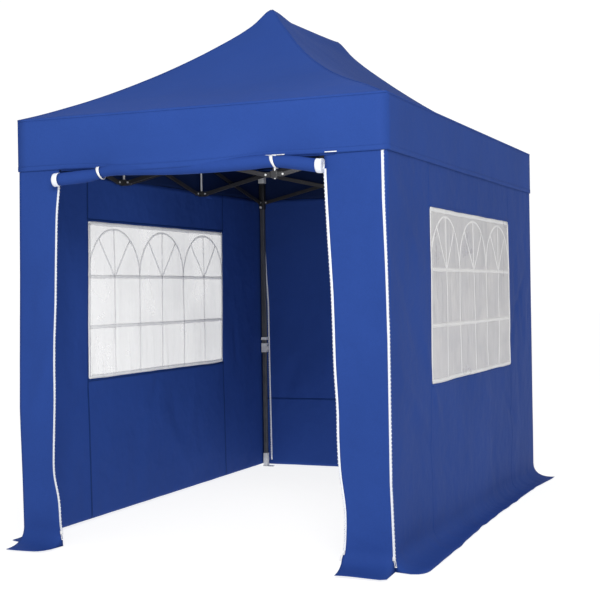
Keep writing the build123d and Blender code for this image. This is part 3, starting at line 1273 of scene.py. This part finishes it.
@dataclass
class Zip:
    """A zip along an upright edge of a wall: tape on both faces, teeth and a pull."""

    name: str
    wall: WallCloth
    side: float
    low: float
    high: float
    inset: Table = FLAT
    tape: float = 0.0085
    teeth_pitch: float = 0.009

    def place(self, inwards: float, z: float, proud: float) -> Vector:
        """A point of the zip, measured inwards from the wall's edge."""
        return self.wall.point(self.side * (self.wall.half - through(z, self.inset) - inwards), z, proud)

    def build(self, paint: Paintbox, fold: Folder) -> None:
        """Make the tape, the teeth and the pull.

        Args:
            paint: The finishes.
            fold: Puts a finished piece on its body.
        """
        zs = ramp(self.low, self.high, 70)
        bm = bmesh.new()
        for proud in (0.0014, -0.0014):
            us = [-0.0015, self.tape] if proud * self.side < 0 else [self.tape, -0.0015]
            add_grid(bm, us, zs, lambda u, z, proud=proud: self.place(u, z, proud))
        fold(dressed(thick_piece(self.name + "_tape", bm, 0.0011), paint[Finish.ZIP]))
        teeth = bmesh.new()
        for i in range(int((self.high - self.low) / self.teeth_pitch)):
            z = self.low + (i + 0.5) * self.teeth_pitch
            at = self.place(-0.0015 if i % 2 else 0.001, z, 0.0)
            spot = Matrix.Translation(at) @ Matrix.Diagonal((0.0052, 0.0052, 0.0046, 1.0))
            bmesh.ops.create_cube(teeth, size=1.0, matrix=spot)
        fold(dressed(new_mesh_object(self.name + "_teeth", teeth), paint[Finish.TEETH]))
        self._pull(paint, fold)

    def _pull(self, paint: Paintbox, fold: Folder) -> None:
        """The slider and its hanging tab.

        Args:
            paint: The finishes.
            fold: Puts a finished piece on its body.
        """
        bm = bmesh.new()
        at = self.place(0.003, self.low + 0.012, 0.0)
        out = self.wall.outward
        body = at + out * 0.004
        reach = Vector((0.006, 0.006, 0.009))
        block(bm, body - reach, body + reach, 0.002)
        across = self.wall.across
        tab = at + out * 0.011 + across * self.side * 0.004
        tip = tab + Vector((0, 0, -0.034)) + out * 0.004 + across * self.side * 0.008
        for step in (-0.0035, 0.0035):
            round_bar(bm, tab + across * step, tip + across * step, 0.0016)
        round_bar(bm, tip - across * 0.005, tip + across * 0.005, 0.0022)
        fold(dressed(new_mesh_object(self.name + "_pull", bm), paint[Finish.TOGGLE]))


@dataclass
class Walls:
    """The side walls with their windows, the front strips and the back wall, with every zip."""

    paint: Paintbox
    thickness: float = 0.0009
    lap: float = 0.012
    shrink: float = 0.197

    def _sheet(self, name: str, wall: WallCloth, us: Sequence[float],
               hole: Hole | None = None) -> tuple[bpy.types.Object, float]:
        """The cloth of one wall.

        Args:
            name: Name of the wall.
            wall: Its shape.
            us: Stations across it.
            hole: True inside an opening.

        Returns:
            The sheet and the area of one of its sides.
        """
        sheet = cloth(name + "_cloth", us, wall.levels(), wall.point, self.thickness, hole=hole, offset=0.0)
        area = sheet_area(sheet)
        return dressed(sheet, self.paint[Finish.WALL]), area

    def _laps(self, name: str, wall: WallCloth, runs: Sequence[Path]) -> list[bpy.types.Object]:
        """A wall's lapped seams: tape on the inside, cloth on the outside."""
        return [self._seams(name + "_seams", wall, runs, -0.0010, Finish.SEAM),
                self._seams(name + "_laps", wall, runs, 0.0008, Finish.WALL)]

    def _seams(self, name: str, wall: WallCloth, runs: Sequence[Path], proud: float,
               finish: Finish) -> bpy.types.Object:
        """Lapped seams on one face of one wall, as one piece.

        Args:
            name: Name of the piece.
            wall: The wall.
            runs: The seams' paths.
            proud: Distance outwards from the wall's middle; below zero is inside.
            finish: The tape's finish.

        Returns:
            The seams.
        """
        bm = bmesh.new()
        for run in runs:
            wall.ribbon(bm, run, self.lap, proud)
        return dressed(thick_piece(name, bm, TAPE), self.paint[finish])

    def _folder(self, body: str, keep: float) -> Folder:
        """How pieces ride on the folding frame.

        Args:
            body: Body that they ride on.
            keep: Share of the length left when the frame is folded; not used.

        Returns:
            A function that puts a piece on the body.
        """

        def fold(piece: bpy.types.Object) -> None:
            """Freeze a piece and let it ride."""
            frozen(piece)
            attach(piece, body)
            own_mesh(piece)

        return fold

    def side(self, sign: int) -> None:
        """One side wall with its window.

        Args:
            sign: -1 for the left wall and 1 for the right.
        """
        name = "wall_right" if sign > 0 else "wall_left"
        body = "leg_front_right" if sign > 0 else "leg_front_left"
        wall = WallCloth(Vector((sign * WALL_X, 0, 0)), Vector((0, sign, 0)), Vector((sign, 0, 0)), WALL_Y,
                         2.0 + sign, creases=random_creases(40 + sign, WALL_Y, 26, 0.011))
        if sign > 0:
            wall.reach = ((0.0, 0.168), (0.1, 0.165), (0.4, 0.125), (0.85, 0.12), (0.95, 0.14), (1.0, 0.15))
            wall.rounding = (0.13, 0.0)
            wall.flare, wall.flare_fade = (-0.12, 0.0), 14.0
            wall.creases += (
                Crease((-1.48, 1.86), (-0.98, 1.36), 0.011, 0.06),
                Crease((-1.42, 1.45), (-1.02, 0.92), -0.010, 0.07),
                Crease((-1.4, 0.9), (-0.9, 0.55), 0.009, 0.05),
                Crease((0.1, 0.7), (1.1, 0.2), 0.009, 0.09),
                Crease((-1.2, 0.62), (-0.3, 0.2), -0.009, 0.09))
        else:
            wall.reach = ((0.0, 0.12), (1.0, 0.11))
            wall.rounding = (0.0, 0.04)
            wall.bend = 0.035
            wall.lean_high = ((0.0, 0.004), (0.35, 0.010), (0.7, 0.020), (1.4, 0.006), (2.0, 0.0))
        us = joined(ramp(-WALL_Y, -WINDOW_Y, 26), ramp(-WINDOW_Y, WINDOW_Y, 56), ramp(WINDOW_Y, WALL_Y, 26))
        sheet, area = self._sheet(name, wall, us, in_window)
        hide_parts(name)
        high = [z for z in wall.levels() if z >= 0.0]
        edge = WINDOW_Y + 0.009
        runs = [[(u, z) for z in high if not lo < z < hi] for u in (-edge, edge)
                for lo, hi in ((SILL_Z, 9.0), (-1.0, HEAD_Z))]
        runs.append([(u, SILL_Z - 0.012) for u in ramp(-edge, edge, 56)])
        runs.append([(u, HEAD_Z + 0.012) for u in ramp(-edge, edge, 56)])
        laps = self._laps(name, wall, runs)
        fold = self._folder(body, self.shrink)
        if sign < 0:
            inset = ((0.0, 0.02), (2.0, 0.02))
            Zip("corner_zip_front_left", wall, 1.0, 0.045, 1.93, inset).build(self.paint, fold)
        # The left window gets the more see-through copy of the film, which paints its backlit pane brighter.
        film = Finish.FILM if sign > 0 else Finish.FILM_BACKLIT_BRIGHTER
        for piece in (sheet, *laps, *Window(wall, name + "_window", film).build(self.paint)):
            fold(piece)
        LOG.info("%s: %.2f m2 of cloth", name, area)

    def strip(self, sign: int) -> None:
        """The strip of front wall beside the door, with the door's zip and, on the right strip, the corner's.

        Args:
            sign: -1 for the left strip and 1 for the right.
        """
        tag = "right" if sign > 0 else "left"
        half = (WALL_X - DOOR_X) / 2
        wall = WallCloth(Vector((sign * (DOOR_X + half), -WALL_Y, 0)), Vector((1, 0, 0)),
                         Vector((0, -1, 0)), half, 11.0 + sign, billow=0.008,
                         creases=random_creases(60 + sign, half, 12, 0.008))
        if sign > 0:
            wall.reach, wall.rounding, wall.flare = ((0.0, 0.195), (1.0, 0.205)), (0.0, 0.03), (0.03, 0.055)
            wall.edge_low = (
                (0.04, 0.0), (0.13, 0.010), (0.27, 0.012), (0.45, -0.010), (0.6, -0.017), (0.74, -0.018),
                (0.945, -0.028), (1.18, -0.033), (1.34, -0.039), (1.525, -0.049), (1.69, -0.057),
                (1.84, -0.063))
            wall.edge_high = ((0.0, 0.012), (0.4, 0.0))
        else:
            wall.reach, wall.rounding, wall.flare = ((0.0, 0.185), (1.0, 0.19)), (0.0, 0.07), (0.012, 0.055)
            wall.edge_high = (
                (0.07, -0.015), (0.11, -0.023), (0.24, -0.032), (0.368, -0.058), (0.495, -0.059),
                (0.75, -0.05), (1.01, -0.046), (1.265, -0.033), (1.52, -0.025), (1.71, -0.017),
                (1.84, -0.002))
            wall.edge_low = ((0.0, -0.004), (0.35, -0.010), (0.7, -0.020), (1.4, -0.006), (2.0, 0.0))
        sheet, area = self._sheet("front_strip_" + tag, wall, ramp(-half, half, 14))
        fold = self._folder("leg_front_" + tag, 0.5)
        fold(sheet)
        Zip("door_zip_" + tag, wall, -sign, 0.06, 1.86).build(self.paint, fold)
        inset = ((0.0, 0.0), (1.05, 0.0), (1.45, 0.006), (1.7, 0.012), (1.93, 0.013))
        if sign > 0:
            Zip("corner_zip_front_right", wall, sign, 0.045, 1.945, inset).build(self.paint, fold)

    def back(self) -> None:
        """The plain back wall with its two corner zips."""
        wall = WallCloth(Vector((0, WALL_Y, 0)), Vector((-1, 0, 0)), Vector((0, 1, 0)), WALL_X, 21.0,
                         creases=random_creases(81, WALL_X, 18, 0.011), bend=0.035)
        sheet, area = self._sheet("wall_back", wall, ramp(-WALL_X, WALL_X, 72))
        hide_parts("wall_back")
        run = [[(u, 0.5) for u in ramp(-WALL_X + 0.03, WALL_X - 0.03, 64)]]
        laps = self._laps("wall_back", wall, run)
        fold = self._folder("hub_top_back", 0.2)
        for piece in (sheet, *laps):
            fold(piece)
        inset = ((0.0, 0.056), (1.2, 0.046), (1.5, 0.03), (1.93, 0.012))
        for side, tag in ((1.0, "left"), (-1.0, "right")):
            Zip("corner_zip_back_" + tag, wall, side, 0.045, 1.93, inset).build(self.paint, fold)
        LOG.info("back wall: %.2f m2 of cloth", area)

    def build(self) -> None:
        """Make every wall."""
        for sign in (-1, 1):
            self.side(sign)
            self.strip(sign)
        self.back()


# ---------------------------------------------------------------- rolled door


@dataclass
class RolledDoor:
    """The door, rolled up under the front valance and held by two loops."""

    paint: Paintbox
    y: float = -1.527
    core: float = 0.006
    pitch: float = 0.0019
    length: float = 1.80
    left: float = -0.775
    right: float = 0.70
    end: float = 0.03
    toggles: tuple[float, float] = (-0.50, 0.452)
    lower_edge: Table = (
        (-0.787, 1.842), (-0.745, 1.845), (-0.649, 1.851), (-0.548, 1.861), (-0.46, 1.880), (-0.328, 1.878),
        (-0.092, 1.868), (0.116, 1.867), (0.324, 1.871), (0.444, 1.877), (0.536, 1.864), (0.682, 1.838),
        (0.70, 1.838))

    def radius(self, x: float) -> float:
        """Radius of the roll; it is tightest under a loop and slack between them."""
        squeeze = sum(math.exp(-((x - t) / 0.06) ** 2) for t in self.toggles)
        return 1.0 - 0.18 * squeeze

    def full(self) -> float:
        """Radius of the roll where nothing squeezes it."""
        return math.sqrt(self.core ** 2 + self.pitch * self.length / math.pi)

    def centre_z(self, x: float) -> float:
        """Height of the roll's middle."""
        return curve(x, self.lower_edge) + self.full() * self.radius(x)

    def turn_point(self, x: float, run: float, grow: float = 0.0) -> Vector:
        """A point of the spiral.

        Args:
            x: Across the door.
            run: Distance along the cloth from the core.
            grow: Distance outwards.

        Returns:
            The point in space.
        """
        k = self.pitch / math.tau
        angle = (math.sqrt(self.core ** 2 + 2 * k * run) - self.core) / k
        radius = (self.core + k * angle) * self.radius(x) + grow
        ripple = 1.0 + 0.07 * rumple(x * 4.0, angle * 0.3, 6.0) * smooth(radius, 0.015, 0.03)
        turn = angle + 0.4
        y = self.y - radius * ripple * math.cos(turn)
        z = self.centre_z(x) + radius * ripple * math.sin(turn)
        return Vector((x, y, z))

    def build(self) -> None:
        """Make the roll, its taped ends, its loops and the cloth that it hangs from."""
        runs = [self.length * (i / 240) ** 0.75 for i in range(241)]
        xs = ramp(self.left + self.end, self.right - self.end, 60)
        roll = cloth("door_roll_cloth", xs, runs, self.turn_point, 0.0009, offset=0.0)
        dressed(roll, self.paint[Finish.WALL])
        ends = []
        width = self.end + 0.0005
        for tag, start in (("left", self.left), ("right", self.right - width)):
            end = cloth("door_roll_zip_" + tag, ramp(start, start + width, 4), runs[30:],
                        lambda x, run: self.turn_point(x, run, 0.0012 * smooth(run, 1.5, 1.7)), 0.0013,
                        offset=0.0)
            ends.append(dressed(end, self.paint[Finish.ZIP]))
        header = self._header()
        loops = [self._loop(x, i) for i, x in enumerate(self.toggles)]
        for piece in (roll, *ends, header, *loops, self._pins()):
            frozen(piece)
            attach(piece, "hub_top_front")
            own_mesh(piece)

    def _header(self) -> bpy.types.Object:
        """The top of the front wall, behind the valance, that the roll hangs from.

        Returns:
            The header.
        """

        def place(x: float, z: float) -> Vector:
            """A slightly wavy sheet that leans forward lower down."""
            forward = smooth(1.97 - z, 0.0, 0.05) * 0.003
            wave = 0.004 * rumple(x * 3.0, z, 2.0) * smooth(2.0 - z, 0.0, 0.1)
            return Vector((x, -1.5045 - forward, z + wave))

        header = cloth("door_header_cloth", ramp(-0.75, 0.75, 36), ramp(1.922, WALL_TOP_Z, 4), place, 0.0009,
                       offset=0.0)
        return dressed(header, self.paint[Finish.WALL])

    def _loop(self, x: float, number: int) -> bpy.types.Object:
        """A white loop round the roll, sewn up behind the valance.

        Args:
            x: Middle of the loop, across the door.
            number: Number in its name.

        Returns:
            The loop.
        """
        outer = self.full() * self.radius(x) * 1.06 + 0.003
        top = self.centre_z(x)
        bm = bmesh.new()

        def place(u: float, turn: float) -> Vector:
            """A slanting band that narrows underneath."""
            up, back = outer * math.sin(turn), outer * math.cos(turn)
            taper = 0.6 + 0.4 * smooth(turn, -1.0, 0.8)
            return Vector((x + u * taper - 0.011 * math.sin(turn), self.y - back, top + up))

        add_grid(bm, [-0.0085, 0.0, 0.0085], ramp(1.25, -math.tau * 0.68, 36), place)
        return dressed(thick_piece(f"door_loop_{number}", bm, 0.0014), self.paint[Finish.TOGGLE])

    def _pins(self) -> bpy.types.Object:
        """Thin white webbing sewn along the valance's hem over the loops.

        Returns:
            The webbing.
        """
        bm = bmesh.new()
        for middle, half, z in ((0.452, 0.050, 1.9365), (0.735, 0.030, 1.9365)):
            block(bm, (middle - half, -1.5195, z - 0.0022), (middle + half, -1.5165, z + 0.0022), 0.0008)
        block(bm, (0.435, -1.5205, 1.925), (0.457, -1.5165, 1.939), 0.0008)
        return dressed(new_mesh_object("door_loop_webbing", bm), self.paint[Finish.TOGGLE])


# --------------------------------------------------------------- metal frame


@dataclass
class FramePaint:
    """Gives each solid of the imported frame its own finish, told by its size."""

    paint: Paintbox
    nodes: dict[str, bpy.types.Object]
    tube: float = 0.5
    small: float = 0.05
    washer: float = 0.02
    bolt: float = 0.0125

    def _solids(self, mesh: bpy.types.Mesh) -> list[tuple[list[int], Vector, Vector]]:
        """The separate solids of a node's mesh.

        Args:
            mesh: Mesh of loose triangles.

        Returns:
            For each solid, its polygons and its lowest and highest corner.
        """
        lead: dict[Spot, int] = {}
        owner = [lead.setdefault(tuple(round(c, 5) for c in v.co), v.index) for v in mesh.vertices]
        parent = list(range(len(mesh.vertices)))

        def find(i: int) -> int:
            """The vertex that stands for a vertex's solid."""
            while parent[i] != i:
                parent[i] = parent[parent[i]]
                i = parent[i]
            return i

        for poly in mesh.polygons:
            first = find(owner[poly.vertices[0]])
            for other in poly.vertices[1:]:
                parent[find(owner[other])] = first
        groups: dict[int, list[int]] = {}
        for poly in mesh.polygons:
            groups.setdefault(find(owner[poly.vertices[0]]), []).append(poly.index)
        out = []
        for polys in groups.values():
            spots = [mesh.vertices[i].co for p in polys for i in mesh.polygons[p].vertices]
            low = Vector(min(s[k] for s in spots) for k in range(3))
            high = Vector(max(s[k] for s in spots) for k in range(3))
            out.append((polys, low, high))
        return out

    def _finish(self, node: str, low: Vector, high: Vector) -> Finish:
        """The finish of one solid, from its node and its size.

        Args:
            node: Name of the node.
            low: The solid's lowest corner.
            high: Its highest corner.

        Returns:
            The finish.
        """
        _, middle, longest = sorted(high - low)
        tube, thin = longest > self.tube, middle < self.bolt
        if thin and longest < self.small:
            return Finish.ZINC
        if node.startswith("bar_"):
            if tube:
                return Finish.COAT
            return Finish.GREY if longest < self.washer else Finish.NYLON
        if node.startswith(("leg_", "inner_leg")):
            return Finish.LEG if high.z - low.z > self.tube else Finish.GREY
        if node.startswith("peak_pole") and high.z - low.z > self.tube:
            return Finish.STEEL
        if node.startswith("slider"):
            return Finish.NYLON if longest > self.small else Finish.GREY
        return Finish.GREY if thin else Finish.NYLON

    def build(self) -> None:
        """Dress every node that shows."""
        order = [Finish.COAT, Finish.LEG, Finish.NYLON, Finish.GREY, Finish.ZINC, Finish.STEEL]
        for name, node in self.nodes.items():
            mesh = node.data
            mesh.materials.clear()
            for finish in order:
                mesh.materials.append(self.paint[finish])
            if node.hide_render:
                continue
            for polys, low, high in self._solids(mesh):
                index = order.index(self._finish(name, low, high))
                for p in polys:
                    mesh.polygons[p].material_index = index
        LOG.info("frame: %d nodes dressed", len(self.nodes))


@dataclass
class LegSleeves:
    """Moulded sleeves on the legs: under each top bracket, over each slider and above each foot."""

    paint: Paintbox
    wall: float = 0.0036
    gap: float = 0.0003
    leg: float = 0.030
    inner: float = 0.0262
    top: tuple[float, float] = (2.093, 2.150)
    slide_top: float = 2.082
    foot: tuple[float, float] = (0.0405, 0.098)
    corner: float = 0.003

    def _sleeve(self, name: str, body: str, at: tuple[float, float], rise: tuple[float, float],
                inside: float, wall: float, finish: Finish) -> None:
        """One square sleeve with rounded corners and soft rims.

        Args:
            name: Name of the piece.
            body: Body that it rides on.
            at: Middle of the leg, in plan.
            rise: Lowest and highest point.
            inside: Width of its hole.
            wall: Thickness of its wall.
            finish: Its finish.
        """
        low, high = rise
        side = inside + 2 * wall
        bm = bmesh.new()
        spot = Matrix.Translation((*at, (low + high) / 2)) @ Matrix.Diagonal((side, side, high - low, 1.0))
        bmesh.ops.create_cube(bm, size=1.0, matrix=spot)
        caps = [f for f in bm.faces if abs(f.normal.z) > 0.5]
        bmesh.ops.delete(bm, geom=caps, context="FACES_ONLY")
        corners = [e for e in bm.edges if abs(e.verts[0].co.z - e.verts[1].co.z) > 0.01]
        bmesh.ops.bevel(bm, geom=corners, offset=self.corner, segments=3, profile=0.5, affect="EDGES",
                        material=-1)
        piece = thick_piece(name, bm, wall, -1.0)
        rims = piece.modifiers.new("rims", "BEVEL")
        rims.width = 0.0008
        rims.segments = 2
        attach(dressed(frozen(piece), self.paint[finish]), body)

    def build(self) -> None:
        """Make the three sleeves of each leg."""
        for y, row in ((-LEG_Y, "front"), (LEG_Y, "back")):
            for x, side in ((-LEG_X, "left"), (LEG_X, "right")):
                tag, at = row + "_" + side, (x, y)
                hole = self.leg + 2 * self.gap
                self._sleeve("leg_top_sleeve_" + tag, "leg_" + tag, at, self.top, hole, 2 * self.wall,
                             Finish.GREY)
                rise = (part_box("slider_" + tag)[1].z, self.slide_top)
                self._sleeve("slider_sleeve_" + tag, "slider_" + tag, at, rise, hole, self.wall, Finish.NYLON)
                self._sleeve("foot_sleeve_" + tag, "inner_leg_" + tag, at, self.foot, self.inner, self.wall,
                             Finish.GREY)
        LOG.info("legs: 12 sleeves")


# ---------------------------------------------------------------------- studio


@dataclass
class Studio:
    """Pale floor, soft light and the camera."""

    eye: Spot = (2.82, -6.875, 1.289)
    yaw: float = 22.78
    roll: float = -0.88
    lens: float = 74.26
    horizon: float = -0.0142
    sky: float = 0.62
    backdrop: float = 1.05
    floor_grey: float = 0.28
    floor_glow: float = 0.84

    def build(self) -> None:
        """Make the floor, the lights and the camera."""
        scene = bpy.context.scene
        scene.view_settings.view_transform = "Standard"
        scene.view_settings.look = "None"
        self._floor()
        self._sky(scene)
        self._lamp("key_panel", (2.1, -5.6, 4.4), (0.5, -1.4, 1.9), 2.2, 205.0)
        self._lamp("inside_panel", (0.35, -1.0, 2.02), (-0.35, 1.2, 1.25), 0.7, 9.0)
        self._camera(scene)
        LOG.info("studio: floor, lights and camera")

    def _floor(self) -> None:
        """A pale floor that runs past the view and glows a little, like a lit sweep."""
        bm = bmesh.new()
        bmesh.ops.create_grid(bm, x_segments=1, y_segments=1, size=60.0)
        floor = new_mesh_object("studio_floor", bm)
        material, w, shader = blank_material("studio_pale_floor")
        grey = self.floor_grey
        w.fill(shader, {"Base Color": (grey, grey, grey, 1), "Roughness": 0.9, "Specular IOR Level": 0.0,
                        "Emission Color": (1, 1, 1, 1), "Emission Strength": self.floor_glow})
        floor.data.materials.append(material)

    def _sky(self, scene: bpy.types.Scene) -> None:
        """Even white light from all round, dimmer than the white that the camera sees behind.

        Args:
            scene: The scene that it goes in.
        """
        world = bpy.data.worlds.new("studio_white")
        world.use_nodes = True
        w = Wiring(world.node_tree)
        back = world.node_tree.nodes["Background"]
        ray = w.add("ShaderNodeLightPath")
        strength = w.spread(ray.outputs["Is Camera Ray"], 0.0, 1.0, self.sky, self.backdrop)
        w.fill(back, {"Color": (1, 1, 1, 1), "Strength": strength})
        scene.world = world

    def _lamp(self, name: str, spot: Spot, aim: Spot, size: float, power: float) -> None:
        """A soft square panel light.

        Args:
            name: Name of the light.
            spot: Where it hangs.
            aim: The point that it faces.
            size: Length of its side.
            power: Its power in watts.
        """
        data = bpy.data.lights.new(name, "AREA")
        data.shape = "SQUARE"
        data.size = size
        data.energy = power
        lamp = bpy.data.objects.new(name, data)
        lamp.location = spot
        lamp.visible_camera = False
        lamp.rotation_euler = (Vector(aim) - Vector(spot)).to_track_quat("-Z", "Y").to_euler()
        bpy.context.scene.collection.objects.link(lamp)

    def _camera(self, scene: bpy.types.Scene) -> None:
        """A level camera at chest height, turned a hair about its own axis.

        Args:
            scene: The scene that it goes in.
        """
        data = bpy.data.cameras.new("camera")
        data.lens = self.lens
        data.sensor_width = 36.0
        data.shift_y = self.horizon
        camera = bpy.data.objects.new("camera", data)
        level = Matrix.Rotation(math.radians(self.yaw), 4, "Z") @ Matrix.Rotation(math.radians(90.0), 4, "X")
        level = level @ Matrix.Rotation(math.radians(self.roll), 4, "Z")
        camera.matrix_world = Matrix.Translation(self.eye) @ level
        scene.collection.objects.link(camera)
        scene.camera = camera


def main() -> None:
    """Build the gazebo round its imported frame."""
    logging.basicConfig(level=logging.INFO, format="%(name)s: %(message)s")
    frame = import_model()
    Studio().build()
    paint = Paintbox()
    moves = FoldMove(frame["bodies"])
    Canopy().build(paint, moves)
    Walls(paint).build()
    RolledDoor(paint).build()
    FramePaint(paint, frame["nodes"]).build()
    LegSleeves(paint).build()


if __name__ == "__main__":
    main()
